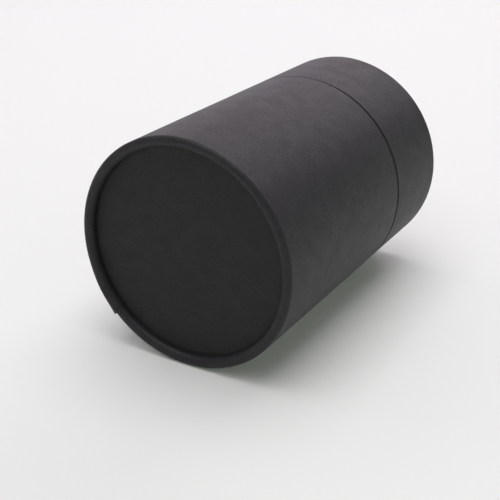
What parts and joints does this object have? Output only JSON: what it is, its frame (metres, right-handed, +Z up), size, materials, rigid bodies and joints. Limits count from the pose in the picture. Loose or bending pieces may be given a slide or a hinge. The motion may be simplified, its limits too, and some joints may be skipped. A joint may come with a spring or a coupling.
{
  "type": "candle tube with push-on lid",
  "caption": "Black card tube with rolled ends and recessed discs, lying on its side, with a push-on lid that slides off an inner neck.",
  "frame": {"origin": "centre of the footprint of the tube as it lies on its side, on the surface that it lies on", "axes": "+Y along the tube's axis from the base's closed end to the lid, +Z up, +X to the right as seen looking at the base's closed end"},
  "size_m": [0.08, 0.12, 0.08],
  "materials": {
    "black_wrap": "matt uncoated black paper, lightly calendered",
    "disc_facing": "matt uncoated black paper",
    "neck_paper": "smooth black paper, slightly burnished by the lid",
    "lining_paper": "smooth dark lining paper",
    "wound_board": "dark grey wound board, dull cut edges",
    "disc_board": "pressed dark grey board"
  },
  "bodies": {
    "base": {"base_tube": "wound_board", "base_wrap": "black_wrap", "base_disc": "disc_board", "base_disc_facing": "disc_facing", "base_disc_liner": "lining_paper", "neck_tube": "wound_board", "neck_cover": "neck_paper", "neck_liner": "lining_paper"},
    "lid": {"lid_tube": "wound_board", "lid_wrap": "black_wrap", "lid_liner": "lining_paper", "lid_disc": "disc_board", "lid_disc_facing": "disc_facing", "lid_disc_liner": "lining_paper"}
  },
  "joints": [
    {"name": "lid_slide", "type": "slide", "parent": "base", "child": "lid", "axis": [0, 1, 0], "range_m": [0, 0.035]}
  ]
}
